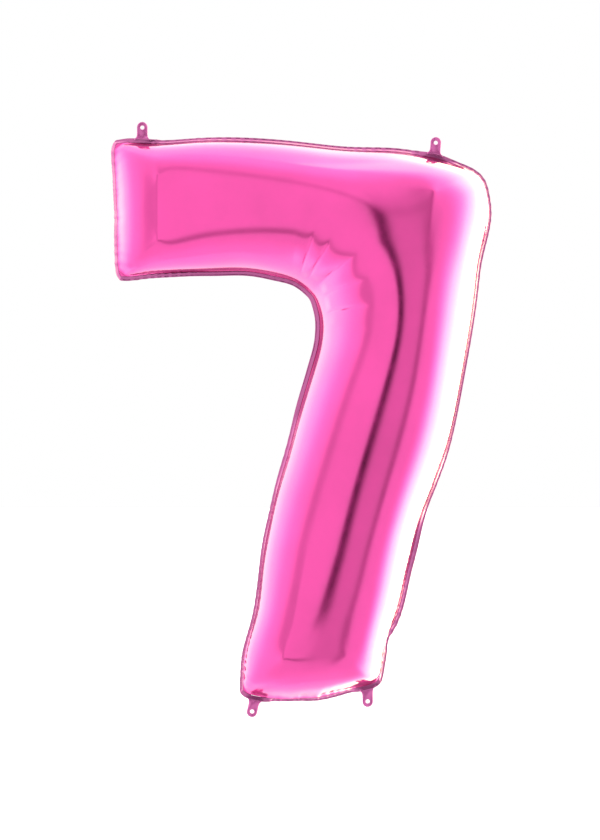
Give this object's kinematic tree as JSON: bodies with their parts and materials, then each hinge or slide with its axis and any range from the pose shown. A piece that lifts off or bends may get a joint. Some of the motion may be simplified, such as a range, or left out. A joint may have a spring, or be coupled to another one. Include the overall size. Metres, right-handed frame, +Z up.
{
  "type": "foil number balloon",
  "caption": "Inflated foil balloon in the shape of the figure seven, with punched hanging tabs at its corners and a flat self-sealing filling neck at its foot.",
  "frame": {"origin": "centre of the whole part's box, on the plane of the weld", "axes": "+Z up, from the foot of the figure to its bar; +Y towards the back; the front, on which the figure reads as a seven, faces -Y"},
  "size_m": [0.6043, 0.2492, 0.9624],
  "materials": {
    "foil": "metallised polyester film under a transparent pink print, satin mirror sheen",
    "seam": "two metallised films heat-welded face to face, finely rippled",
    "tab": "two metallised films welded flat, with a punched hole",
    "valve_film": "thin translucent polyethylene film"
  },
  "bodies": {
    "envelope": {"front_foil": "foil", "back_foil": "foil", "seam_flange": "seam", "valve_front_strip": "valve_film", "valve_back_strip": "valve_film"},
    "top_left_tab": {"top_left_tab": "tab"},
    "top_right_tab": {"top_right_tab": "tab"},
    "bottom_right_tab": {"bottom_right_tab": "tab"},
    "filling_neck": {"filling_neck_front_film": "tab", "filling_neck_back_film": "tab"}
  },
  "joints": [
    {"name": "top_left_tab_fold", "type": "hinge", "parent": "envelope", "child": "top_left_tab", "pos_m": [-0.258, 0, 0.4482], "axis": [1, 0, 0], "range_deg": [-90, 90], "stiffness_Nm_per_rad": 0.0001},
    {"name": "top_right_tab_fold", "type": "hinge", "parent": "envelope", "child": "top_right_tab", "pos_m": [0.215, 0, 0.4237], "axis": [0.9976, 0, -0.0698], "range_deg": [-90, 90], "stiffness_Nm_per_rad": 0.0001},
    {"name": "bottom_right_tab_fold", "type": "hinge", "parent": "envelope", "child": "bottom_right_tab", "pos_m": [0.1065, 0, -0.4318], "axis": [1, 0, 0], "range_deg": [-90, 90], "stiffness_Nm_per_rad": 0.0001},
    {"name": "filling_neck_fold", "type": "hinge", "parent": "envelope", "child": "filling_neck", "pos_m": [-0.075, 0, -0.4488], "axis": [0.9744, 0, -0.225], "range_deg": [-90, 90], "stiffness_Nm_per_rad": 0.0001}
  ]
}
